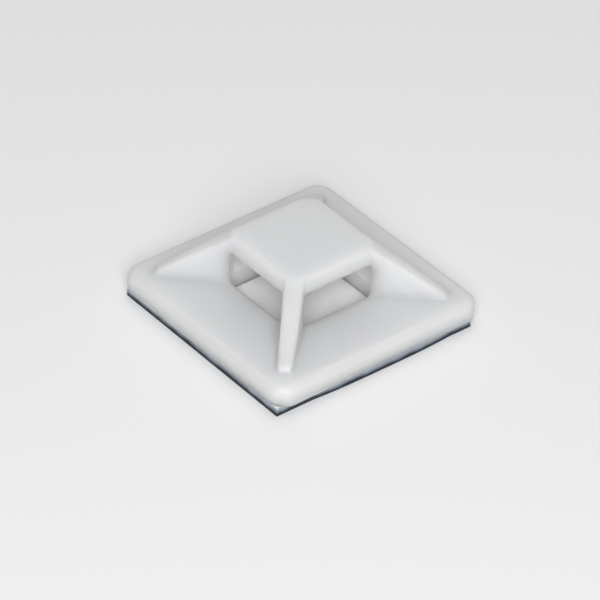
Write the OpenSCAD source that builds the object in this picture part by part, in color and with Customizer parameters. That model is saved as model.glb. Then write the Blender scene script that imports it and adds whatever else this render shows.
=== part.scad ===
// Four-way adhesive mount for cable ties.
// A square nylon base carries a square plate on four diagonal legs. The plate stands over a
// square well in the base, so a tie goes in at one window and out at the one opposite. A foam
// pad with its release liner is stuck under the base.
// Millimetres, +Z up. Origin: middle of the base's outline, at the underside of the liner.

/* [Base] */
// Side of the square base
base_side = 28.5; // [26:0.5:40]
// Thickness of the base
base_t = 2.4; // [1.6:0.1:4]
// Radius of the base's corners, seen from above
base_corner_r = 2.1; // [1.2:0.1:3.2]
// Radius of the rounded edge round the base's top
base_edge_r = 0.8; // [0.2:0.1:1]

/* [Plate and windows] */
// Side of the square plate, and of the well under it
plate_side = 12.4; // [10:0.2:14]
// Thickness of the plate
plate_t = 2.2; // [1.6:0.1:3]
// Height of the tie windows, from the base's top to the plate's underside
window_h = 4.06; // [3:0.02:6]

/* [Legs] */
// Thickness of a leg where it meets the plate
leg_t = 2.2; // [1.7:0.1:3]
// Distance from the plate's corner in to the brow, where a leg's slope begins
leg_brow_gap = 0.95; // [0.6:0.05:1.5]
// Thickness of a leg at its foot
leg_foot_t = 1.6; // [1.2:0.1:1.6]
// Height of the blunt end of a leg's foot
leg_foot_h = 0.35; // [0.1:0.05:1]
// Distance from a leg's foot to the base's rounded corner
leg_foot_gap = 2.9; // [2:0.1:4]
// Radius of the fillet where a leg runs into the base
leg_fillet_r = 0.4; // [0.1:0.1:0.8]

/* [Foam pad] */
// Side of the square foam pad
pad_side = 27.1; // [22:0.1:27.4]
// Thickness of the foam
pad_t = 0.9; // [0.5:0.1:2]
// How far the pad was stuck off centre, to the right
pad_shift_x = -0.5; // [-0.5:0.05:0.5]
// How far the pad was stuck off centre, to the back
pad_shift_y = -0.25; // [-0.5:0.05:0.5]
// How far the pad was stuck out of square, in degrees
pad_turn = -0.5; // [-1:0.1:1]

/* [Release liner] */
// Thickness of the liner
liner_t = 0.1; // [0.05:0.05:0.3]

/* [Hidden] */
$fn = 64;
// Depth by which one form of the moulding runs into the next
bite = 0.5;
base_z = liner_t + pad_t;
base_top = base_z + base_t;
plate_z = base_top + window_h;
plate_top = plate_z + plate_t;
// Distances along a diagonal, from the middle: to the base's rounded corner, to a leg's foot,
// and to the brow
corner_d = base_side / sqrt(2) - base_corner_r * (sqrt(2) - 1);
foot_d = corner_d - leg_foot_gap;
brow_d = plate_side / sqrt(2) - leg_brow_gap;
leg_taper = atan((leg_t - leg_foot_t) / 2 / (foot_d - brow_d));

// Section of a slab from its middle out: a straight wall with a rounded top edge
module edge_section(reach, height, edge_r) {
    square([reach, height - edge_r]);
    square([reach - edge_r, height]);
    translate([reach - edge_r, height - edge_r]) circle(edge_r);
}

// A square slab with rounded corners and a rounded edge round its top
module rounded_slab(side, height, corner_r, edge_r) {
    straight = side - 2 * corner_r;
    for (turn = [0:90:270]) rotate(turn) {
        translate([straight / 2, straight / 2, 0])
            rotate_extrude(angle = 90) edge_section(corner_r, height, edge_r);
        translate([0, straight / 2, 0]) rotate([90, 0, 0])
            linear_extrude(straight) edge_section(side / 2, height, edge_r);
    }
}

// Outline of a leg from above, along +X, grown by some amount on its sides and its foot
module leg_outline(grow = 0) {
    side_grow = grow / cos(leg_taper);
    root_half = leg_t / 2 + side_grow + bite * tan(leg_taper);
    foot_half = leg_foot_t / 2 + side_grow - grow * tan(leg_taper);
    polygon([
        [brow_d - bite, -root_half],
        [foot_d + grow, -foot_half],
        [foot_d + grow, foot_half],
        [brow_d - bite, root_half]
    ]);
}

// Side view of a leg: level inside the plate, then one straight slope down to the blunt foot
module leg_side_view() {
    polygon([
        [brow_d - bite, base_z],
        [foot_d, base_z],
        [foot_d, base_top + leg_foot_h],
        [brow_d, plate_top],
        [brow_d - bite, plate_top]
    ]);
}

// The hollow fillet round a leg's foot, on both sides and across its end
module leg_fillet() {
    difference() {
        translate([0, 0, base_top - bite])
            linear_extrude(bite + leg_fillet_r) leg_outline(leg_fillet_r);
        for (side = [-1, 1]) translate([brow_d, side * leg_t / 2, base_top + leg_fillet_r])
            rotate(-side * leg_taper) translate([-leg_t, side * leg_fillet_r, 0])
                rotate([0, 90, 0]) cylinder(h = base_side, r = leg_fillet_r);
        translate([foot_d + leg_fillet_r, 0, base_top + leg_fillet_r])
            rotate([90, 0, 0]) cylinder(h = 2 * leg_t, r = leg_fillet_r, center = true);
    }
}

module leg() {
    intersection() {
        linear_extrude(plate_top) leg_outline();
        translate([0, leg_t, 0]) rotate([90, 0, 0]) linear_extrude(2 * leg_t) leg_side_view();
    }
    leg_fillet();
}

// The well under the plate, open at the bottom, with a window in each of its four sides
module well() {
    translate([0, 0, base_z - bite])
        linear_extrude(plate_z - base_z + bite) square(plate_side, center = true);
}

// The plate, whose corners stop at the brows, where the legs carry on
module plate() {
    translate([0, 0, plate_z]) linear_extrude(plate_t) intersection() {
        square(plate_side, center = true);
        rotate(45) square(2 * brow_d, center = true);
    }
}

module mount_body() {
    color("gainsboro") {
        difference() {
            union() {
                translate([0, 0, base_z])
                    rounded_slab(base_side, base_t, base_corner_r, base_edge_r);
                for (turn = [45:90:315]) rotate(turn) leg();
            }
            well();
        }
        plate();
    }
}

// Outline of the pad and its liner, as it was stuck on
module pad_outline() {
    translate([pad_shift_x, pad_shift_y]) rotate(pad_turn) square(pad_side, center = true);
}

module foam_pad() {
    color("slategray") translate([0, 0, liner_t]) linear_extrude(pad_t) pad_outline();
}

module release_liner() {
    color("darkslategray") linear_extrude(liner_t) pad_outline();
}

mount_body();
foam_pad();
release_liner();
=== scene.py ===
import math
import bpy
import bmesh
from mathutils import Matrix, Vector, noise


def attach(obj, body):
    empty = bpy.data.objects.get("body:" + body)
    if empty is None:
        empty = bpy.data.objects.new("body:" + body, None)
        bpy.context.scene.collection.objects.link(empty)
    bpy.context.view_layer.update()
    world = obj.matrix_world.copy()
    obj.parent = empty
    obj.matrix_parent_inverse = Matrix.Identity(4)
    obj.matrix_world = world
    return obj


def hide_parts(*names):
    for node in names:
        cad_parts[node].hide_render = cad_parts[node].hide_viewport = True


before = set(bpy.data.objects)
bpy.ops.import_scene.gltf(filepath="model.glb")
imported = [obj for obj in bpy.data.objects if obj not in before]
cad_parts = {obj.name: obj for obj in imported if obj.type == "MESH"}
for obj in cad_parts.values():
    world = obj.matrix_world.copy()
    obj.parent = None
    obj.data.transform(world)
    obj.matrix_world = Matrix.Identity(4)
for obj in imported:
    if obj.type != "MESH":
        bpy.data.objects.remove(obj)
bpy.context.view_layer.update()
mm = 0.001
scene = bpy.context.scene
print("frame loaded")


def linear(hexColour):  # sRGB hex to the linear values that the shaders work in
    values = [int(hexColour[i:i + 2], 16) / 255 for i in (1, 3, 5)]
    return [v / 12.92 if v <= 0.04045 else ((v + 0.055) / 1.055) ** 2.4 for v in values] + [1.0]


# the camera looks down on one corner of the base and leans over a little
shot = {
    "azimuth": -39.54, "elevation": 36.99, "roll": 1.63,  # degrees
    "distance": 572.8, "aim": (0.876, 1.165, 0.0), "lens": 309.65,  # millimetres
}


def towards(azimuth, elevation):  # the way from the object to a camera or lamp
    a, e = math.radians(azimuth), math.radians(elevation)
    return Vector((math.sin(a) * math.cos(e), -math.cos(a) * math.cos(e), math.sin(e)))


def addCamera():
    back = towards(shot["azimuth"], shot["elevation"])
    azimuth = math.radians(shot["azimuth"])
    level = Vector((math.cos(azimuth), math.sin(azimuth), 0))
    lean = Matrix.Rotation(math.radians(shot["roll"]), 3, back)
    right, up = lean @ level, lean @ back.cross(level)
    data = bpy.data.cameras.new("camera")
    data.lens, data.sensor_width = shot["lens"], 36
    data.clip_start, data.clip_end = 0.01, 10
    camera = bpy.data.objects.new("camera", data)
    turn = Matrix((right, up, back)).transposed().to_4x4()
    camera.matrix_world = Matrix.Translation((Vector(shot["aim"]) + back * shot["distance"]) * mm) @ turn
    scene.collection.objects.link(camera)
    scene.camera = camera


addCamera()
print("camera ready")

# every mesh is worked on in millimetres and made metres when it is done

base = {
    "side": 28.5, "bottom": 1.0, "thick": 2.4,
    "cornerRadius": 2.1, "cornerSteps": 14, "rimRadius": 0.8, "rimSteps": 8,
}
plate = {"side": 12.4, "under": 7.46, "thick": 2.2, "edgeRadius": 0.4}
leg = {
    "rootThick": 2.3, "footThick": 1.6, "foot": 16.383, "footHeight": 0.35,  # foot is how far out along a diagonal
    "edgeRadius": 0.2, "browRadius": 1.2,
}
easing = {
    "leastBend": 12, "clear": 0.2, "postHeight": 6.5, "browBend": 1.0,  # degrees, two heights and radians
    "steps": 4, "level": 0.01,
}
moulding = {
    "voxel": 0.12, "rounds": 8, "filletRounds": 20, "keep": 0.5,
    "sideReach": 0.6, "footReach": 0.8, "filletHeight": 0.5, "margin": 0.2, "rimMargin": 0.3,
}
baseTop = base["bottom"] + base["thick"]
plateTop = plate["under"] + plate["thick"]
# where a leg leaves the plate, along a diagonal
brow = (plate["side"] - leg["rootThick"] / math.sqrt(2)) / math.sqrt(2)


def meshObject(name, bm):
    mesh = bpy.data.meshes.new(name)
    bm.to_mesh(mesh)
    bm.free()
    piece = bpy.data.objects.new(name, mesh)
    scene.collection.objects.link(piece)
    return piece


def block(size, centre):
    bm = bmesh.new()
    bmesh.ops.create_cube(bm, size=1)
    bmesh.ops.scale(bm, vec=size, verts=bm.verts)
    bmesh.ops.translate(bm, vec=centre, verts=bm.verts)
    return bm


def roundOff(bm, edges, radius, steps):
    bmesh.ops.bevel(
        bm, geom=edges, offset=radius, offset_type="OFFSET", segments=steps,
        profile=0.5, affect="EDGES", material=-1,
    )


def settle(piece):  # makes what the modifiers give the piece's own mesh
    depsgraph = bpy.context.evaluated_depsgraph_get()
    mesh = bpy.data.meshes.new_from_object(piece.evaluated_get(depsgraph))
    piece.modifiers.clear()
    piece.data = mesh


def join(piece, other, operation):
    boolean = piece.modifiers.new("join", "BOOLEAN")
    boolean.operation, boolean.object, boolean.solver = operation, other, "EXACT"
    settle(piece)
    bpy.data.objects.remove(other)


def slab():
    middle = base["bottom"] + base["thick"] / 2
    bm = block((base["side"], base["side"], base["thick"]), (0, 0, middle))
    upright = [e for e in bm.edges if abs(e.verts[0].co.z - e.verts[1].co.z) > base["thick"] / 2]
    roundOff(bm, upright, base["cornerRadius"], base["cornerSteps"])
    rim = [e for e in bm.edges if all(v.co.z > baseTop - 0.01 for v in e.verts)]
    roundOff(bm, rim, base["rimRadius"], base["rimSteps"])
    return meshObject("mountBody", bm)


def upperForm():  # the plate and its four legs, down to the floor of the well
    post = meshObject("post", block((plate["side"], plate["side"], plateTop), (0, 0, plateTop / 2)))
    for turn in (45, 135):
        bm = block((2 * leg["foot"], leg["rootThick"], plateTop), (0, 0, plateTop / 2))
        for end in (-brow, brow):
            everything = bm.verts[:] + bm.edges[:] + bm.faces[:]
            bmesh.ops.bisect_plane(bm, geom=everything, plane_co=(end, 0, 0), plane_no=(1, 0, 0))
        feet = [v for v in bm.verts if abs(v.co.x) > leg["foot"] - 0.01]
        bmesh.ops.scale(bm, vec=(1, leg["footThick"] / leg["rootThick"], 1), verts=feet)
        bmesh.ops.rotate(bm, matrix=Matrix.Rotation(math.radians(turn), 3, "Z"), verts=bm.verts)
        join(post, meshObject("bar", bm), "UNION")
    slope = (plateTop - baseTop - leg["footHeight"]) / (leg["foot"] - brow)
    reach = brow + plateTop / slope
    bm = bmesh.new()  # a hip roof that slopes down over the legs
    bmesh.ops.create_cone(
        bm, cap_ends=True, segments=4,
        radius1=reach * math.sqrt(2), radius2=brow * math.sqrt(2), depth=plateTop,
    )
    bmesh.ops.translate(bm, vec=(0, 0, plateTop / 2), verts=bm.verts)
    join(post, meshObject("roof", bm), "INTERSECT")
    return post


def easeTop(piece):  # rounds the plate's edges, the brows and the legs' long edges, each by its own radius
    bm = bmesh.new()
    bm.from_mesh(piece.data)
    bmesh.ops.remove_doubles(bm, verts=bm.verts, dist=0.02)
    bmesh.ops.dissolve_limit(bm, angle_limit=math.radians(0.5), verts=bm.verts, edges=bm.edges)
    bmesh.ops.delete(bm, geom=[e for e in bm.edges if not e.link_faces], context="EDGES")
    weight = bm.edges.layers.float.new("bevel_weight_edge")
    for e in bm.edges:
        bend = e.calc_face_angle_signed()
        heights = sorted(v.co.z for v in e.verts)
        rise = heights[1] - heights[0]
        if bend < math.radians(easing["leastBend"]) or heights[1] < baseTop + easing["clear"]:
            continue
        if rise > easing["postHeight"]:
            continue
        radius = leg["edgeRadius"]
        if rise < easing["level"]:
            radius = leg["browRadius"] if bend < easing["browBend"] else plate["edgeRadius"]
        e[weight] = radius * math.tan(bend / 2)
    bm.to_mesh(piece.data)
    bm.free()
    bevel = piece.modifiers.new("ease", "BEVEL")
    bevel.limit_method, bevel.width, bevel.segments, bevel.profile = "WEIGHT", 1.0, easing["steps"], 0.5
    bevel.use_clamp_overlap = False
    settle(piece)


def mountBody():
    body, top = slab(), upperForm()
    easeTop(top)
    inside = base["bottom"] + base["thick"] / 2  # the legs start inside the slab
    wide = base["side"] * 2
    join(top, meshObject("trim", block((wide, wide, inside), (0, 0, inside / 2))), "DIFFERENCE")
    join(body, top, "UNION")
    well = block((plate["side"], plate["side"], plate["under"]), (0, 0, plate["under"] / 2))
    join(body, meshObject("well", well), "DIFFERENCE")
    return body


def mould(piece):  # a fine even skin over the whole body, whose edges are then eased as a mould leaves them
    skin = piece.modifiers.new("skin", "REMESH")
    skin.mode, skin.voxel_size, skin.adaptivity = "VOXEL", moulding["voxel"], 0
    settle(piece)
    edges = piece.vertex_groups.new(name="edges")
    fillets = piece.vertex_groups.new(name="fillets")
    rimZone = base["side"] / 2 - base["rimRadius"] - moulding["rimMargin"]
    sideZone = leg["rootThick"] / 2 + moulding["sideReach"]
    footZone = leg["foot"] + moulding["footReach"]
    plateZone = plate["side"] / 2 + moulding["margin"]
    for v in piece.data.vertices:
        x, y, z = abs(v.co.x), abs(v.co.y), v.co.z
        if z < base["bottom"] + moulding["margin"]:
            continue  # the flat underside and the foot of the well stay sharp
        edges.add([v.index], 1.0, "REPLACE")
        across, along = abs(x - y) / math.sqrt(2), (x + y) / math.sqrt(2)
        nearLeg = across < sideZone and along < footZone and plateZone < max(x, y) < rimZone
        if nearLeg and abs(z - baseTop) < moulding["filletHeight"]:
            fillets.add([v.index], 1.0, "REPLACE")
    for group, rounds in (("fillets", moulding["filletRounds"]), ("edges", moulding["rounds"])):
        smooth = piece.modifiers.new(group, "SMOOTH")
        smooth.factor, smooth.iterations, smooth.vertex_group = 0.5, rounds, group
    thin = piece.modifiers.new("thin", "DECIMATE")
    thin.ratio = moulding["keep"]
    settle(piece)
    piece.vertex_groups.clear()


body = mountBody()
mould(body)
print("body moulded:", len(body.data.polygons), "faces")


def metres(piece, smooth=True):  # brings a finished mesh from millimetres to metres
    piece.data.transform(Matrix.Scale(mm, 4))
    for face in piece.data.polygons:
        face.use_smooth = smooth


metres(body)
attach(body, "root")
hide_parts("mount_body")

pad = {
    "side": 27.1, "bottom": 0.1, "thick": 0.9, "shift": (-0.5, -0.25), "turn": -0.5,
    "cuts": 60, "layers": 5, "edgeBand": 0.01,
    "bow": 0.27, "bowMiddle": 1.0, "bowHalf": 9.5,  # the front edge was pulled out of line along this stretch
    "ripple": 0.05, "rippleLength": 3.2,
    "gap": 0.02,  # a hair under the body, so light that leaves the body meets the glue
}
liner = {
    "thick": 0.1, "tints": ("#39424b", "#46505a"), "gloss": 0.38, "ripple": 4, "rippleDepth": 0.05,
}


def stuckOn(name, bottom, thick, layers, ripple):  # a square of tape, laid a little off centre and out of square
    bm = block((pad["side"], pad["side"], thick), (0, 0, bottom + thick / 2))
    level = [e for e in bm.edges if abs(e.verts[0].co.z - e.verts[1].co.z) < pad["edgeBand"]]
    bmesh.ops.subdivide_edges(bm, edges=level, cuts=pad["cuts"], use_grid_fill=True)
    if layers:
        upright = [e for e in bm.edges if abs(e.verts[0].co.z - e.verts[1].co.z) > thick / 2]
        bmesh.ops.subdivide_edges(bm, edges=upright, cuts=layers, use_grid_fill=True)
    half = pad["side"] / 2
    for v in bm.verts:
        x, y, z = v.co
        if y < 0:
            bow = pad["bow"] * max(0.0, 1 - abs((x - pad["bowMiddle"]) / pad["bowHalf"]) ** 3)
            v.co.y -= bow * -y / half
        rim = half - pad["edgeBand"]
        if ripple and max(abs(x), abs(y)) > rim:
            wave = noise.noise(Vector((x, y, z * 2)) / pad["rippleLength"]) * ripple
            wave += noise.noise(Vector((x, y, z)) * 2.1) * ripple * 0.5
            pull = Vector((x if abs(x) > rim else 0, y if abs(y) > rim else 0, 0)).normalized()
            v.co += pull * (wave - ripple)
    bmesh.ops.rotate(bm, matrix=Matrix.Rotation(math.radians(pad["turn"]), 3, "Z"), verts=bm.verts)
    bmesh.ops.translate(bm, vec=(*pad["shift"], 0), verts=bm.verts)
    return meshObject(name, bm)


foamThick = pad["thick"] - pad["gap"]
foam = stuckOn("foamPad", pad["bottom"], foamThick, pad["layers"], pad["ripple"])
metres(foam, smooth=False)
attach(foam, "root")
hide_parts("foam_pad")
film = stuckOn("releaseLiner", 0.0, liner["thick"], 0, 0.0)
metres(film, smooth=False)
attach(film, "root")
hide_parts("release_liner")
print("pad and liner made")



def material(name):
    made = bpy.data.materials.new(name)
    made.use_nodes = True
    tree = made.node_tree
    return made, tree, tree.nodes["Principled BSDF"]


def node(tree, kind, settings=None, **links):  # adds a node, sets its inputs and options, and links what is given
    added = tree.nodes.new(kind)
    for key, value in (settings or {}).items():
        if key in added.inputs:
            added.inputs[key].default_value = value
        else:
            setattr(added, key, value)
    for key, source in links.items():
        tree.links.new(source, added.inputs[key.replace("_", " ")])
    return added


def mixed(tree, amount, first, second):  # a colour between two hex colours
    mix = node(tree, "ShaderNodeMix", {"data_type": "RGBA"}, Factor=amount)
    mix.inputs["A"].default_value, mix.inputs["B"].default_value = linear(first), linear(second)
    return mix.outputs["Result"]


nylon = {
    "dark": "#d8d9db", "light": "#e1e2e3", "cloud": 9, "gloss": (0.34, 0.46), "reach": 6.0,  # sizes in millimetres
    "wave": 5, "waveDepth": 0.03,  # shallow unevenness left by shrinking
    "grain": 0.25, "grainDepth": 0.004,  # the mould's grain, drawn several times coarser than life so that it shows
}
foamLook = {
    # from the liner up to the body: painted shade on the cut edge, darkest by the liner and lightening towards the
    # body
    "edge": ((0.0, "#14181c"), (0.22, "#333c45"), (0.40, "#6f7985"), (0.70, "#9aa4af"), (1.0, "#b4bbc4")),
    "shadeAndGlueMottle": 1.6, "shadeMottleRise": 0.16, "glue": ("#ebebe9", "#f4f4f2"), "rough": 0.7,
    "cell": 0.28, "cellDepth": 0.03,  # cells about twice as coarse as life so that they show
}


# moulded polyamide: milky, so light goes in and comes out softly, and satin from the mould's face
def naturalNylon():
    made, tree, shader = material("naturalNylon")
    place = node(tree, "ShaderNodeTexCoord").outputs["Object"]
    blotches = {"Scale": 1 / (nylon["cloud"] * mm), "Detail": 3.0, "Roughness": 0.5}
    cloud = node(tree, "ShaderNodeTexNoise", blotches, Vector=place)
    tint = mixed(tree, cloud.outputs["Fac"], nylon["dark"], nylon["light"])
    tree.links.new(tint, shader.inputs["Base Color"])
    spread = {"From Min": 0.3, "From Max": 0.7, "To Min": nylon["gloss"][0], "To Max": nylon["gloss"][1]}
    satin = node(tree, "ShaderNodeMapRange", spread, Value=cloud.outputs["Fac"])
    tree.links.new(satin.outputs["Result"], shader.inputs["Roughness"])
    waves = node(tree, "ShaderNodeTexNoise", {"Scale": 1 / (nylon["wave"] * mm), "Detail": 2.0}, Vector=place)
    shallow = {"Strength": 1.0, "Distance": nylon["waveDepth"] * mm}
    soft = node(tree, "ShaderNodeBump", shallow, Height=waves.outputs["Fac"])
    grain = node(tree, "ShaderNodeTexNoise", {"Scale": 1 / (nylon["grain"] * mm), "Detail": 2.0}, Vector=place)
    light = {"Strength": 1.0, "Distance": nylon["grainDepth"] * mm}
    fine = node(tree, "ShaderNodeBump", light, Height=grain.outputs["Fac"], Normal=soft.outputs["Normal"])
    tree.links.new(fine.outputs["Normal"], shader.inputs["Normal"])
    shader.inputs["IOR"].default_value = 1.53
    shader.inputs["Subsurface Weight"].default_value = 1.0
    shader.inputs["Subsurface Radius"].default_value = (1.0, 1.0, 1.0)
    shader.inputs["Subsurface Scale"].default_value = nylon["reach"] * mm
    return made


# closed-cell foam between two coats of glue: the cut edge shows its cells and carries painted shade, darker than
# the glue face and darkest low down by the liner, and the upper face is milky glue
def foamTape():
    made, tree, shader = material("foamTape")
    place = node(tree, "ShaderNodeTexCoord").outputs["Object"]
    parts = node(tree, "ShaderNodeSeparateXYZ", Vector=place)
    band = {"From Min": pad["bottom"] * mm, "From Max": (pad["bottom"] + pad["thick"]) * mm}
    height = node(tree, "ShaderNodeMapRange", band, Value=parts.outputs["Z"])
    shadeAndGlueMottle = node(tree, "ShaderNodeTexNoise", {"Scale": 1 / (foamLook["shadeAndGlueMottle"] * mm), "Detail": 3.0}, Vector=place)
    rise = foamLook["shadeMottleRise"]
    wander = {"From Min": 0.25, "From Max": 0.75, "To Min": -rise, "To Max": rise}
    drift = node(tree, "ShaderNodeMapRange", wander, Value=shadeAndGlueMottle.outputs["Fac"])
    level = node(tree, "ShaderNodeMath", {"operation": "ADD", "use_clamp": True})
    tree.links.new(height.outputs["Result"], level.inputs[0])
    tree.links.new(drift.outputs["Result"], level.inputs[1])
    # painted shade: the cut edge darkens towards the liner, and the mottle moves the dark band up and down and
    # varies the glue's tone
    edge = node(tree, "ShaderNodeValToRGB", Fac=level.outputs["Value"])
    stops = edge.color_ramp.elements
    while len(stops) < len(foamLook["edge"]):
        stops.new(0.5)
    for stop, (where, colour) in zip(stops, foamLook["edge"]):
        stop.position, stop.color = where, linear(colour)
    cells = node(tree, "ShaderNodeTexVoronoi", {"Scale": 1 / (foamLook["cell"] * mm)}, Vector=place)
    deep = {"Strength": 1.0, "Distance": foamLook["cellDepth"] * mm}
    pits = node(tree, "ShaderNodeBump", deep, Height=cells.outputs["Distance"])
    normal = node(tree, "ShaderNodeNewGeometry").outputs["True Normal"]
    facing = node(tree, "ShaderNodeSeparateXYZ", Vector=normal)
    up = node(tree, "ShaderNodeMath", {"operation": "GREATER_THAN"})
    tree.links.new(facing.outputs["Z"], up.inputs[0])
    up.inputs[1].default_value = 0.5  # the upper face alone looks up
    glue = mixed(tree, shadeAndGlueMottle.outputs["Fac"], *foamLook["glue"])
    face = node(tree, "ShaderNodeMix", {"data_type": "RGBA"}, Factor=up.outputs["Value"])
    tree.links.new(edge.outputs["Color"], face.inputs["A"])
    tree.links.new(glue, face.inputs["B"])
    tree.links.new(face.outputs["Result"], shader.inputs["Base Color"])
    tree.links.new(pits.outputs["Normal"], shader.inputs["Normal"])
    shader.inputs["Roughness"].default_value = foamLook["rough"]
    return made


def linerFilm():  # siliconised film: dark, smooth and a little rippled
    made, tree, shader = material("linerFilm")
    place = node(tree, "ShaderNodeTexCoord").outputs["Object"]
    ripple = node(tree, "ShaderNodeTexNoise", {"Scale": 1 / (liner["ripple"] * mm), "Detail": 3.0}, Vector=place)
    tree.links.new(mixed(tree, ripple.outputs["Fac"], *liner["tints"]), shader.inputs["Base Color"])
    shallow = {"Strength": 1.0, "Distance": liner["rippleDepth"] * mm}
    bend = node(tree, "ShaderNodeBump", shallow, Height=ripple.outputs["Fac"])
    tree.links.new(bend.outputs["Normal"], shader.inputs["Normal"])
    shader.inputs["Roughness"].default_value = liner["gloss"]
    return made


for piece, made in ((body, naturalNylon()), (foam, foamTape()), (film, linerFilm())):
    piece.data.materials.clear()
    piece.data.materials.append(made)
print("materials ready")


studio = {
    "lamps": (  # azimuth and elevation in degrees, distance and width in metres, watts
        ("keyLamp", -37, 36, 0.6, 0.30, 2.75),
        ("skyLamp", 140, 62, 0.8, 1.00, 2.6),
        ("cornerLamp", -44, 72, 0.6, 0.08, 0.12),
    ),
    "air": "#ffffff", "airStrength": 0.17, "floorSize": 2, "floor": "#f7f7f7",
}


def addLamp(name, azimuth, elevation, distance, width, watts):
    back = towards(azimuth, elevation)
    data = bpy.data.lights.new(name, "AREA")
    data.shape, data.size, data.energy = "SQUARE", width, watts
    lamp = bpy.data.objects.new(name, data)
    lamp.location = back * distance
    lamp.rotation_mode = "QUATERNION"
    lamp.rotation_quaternion = back.to_track_quat("Z", "Y")
    scene.collection.objects.link(lamp)


for lamp in studio["lamps"]:
    addLamp(*lamp)
world = bpy.data.worlds.new("studio")
world.use_nodes = True
air = world.node_tree.nodes["Background"]
air.inputs["Color"].default_value = linear(studio["air"])
air.inputs["Strength"].default_value = studio["airStrength"]
scene.world = world
scene.view_settings.view_transform = "Standard"

floorBm = bmesh.new()
bmesh.ops.create_grid(floorBm, x_segments=1, y_segments=1, size=studio["floorSize"])
floor = meshObject("floor", floorBm)
floorPaint, floorTree, floorShader = material("paleFloor")
floorShader.inputs["Base Color"].default_value = linear(studio["floor"])
floorShader.inputs["Roughness"].default_value = 0.9
floorShader.inputs["Specular IOR Level"].default_value = 0.1
floor.data.materials.append(floorPaint)
print("studio ready")
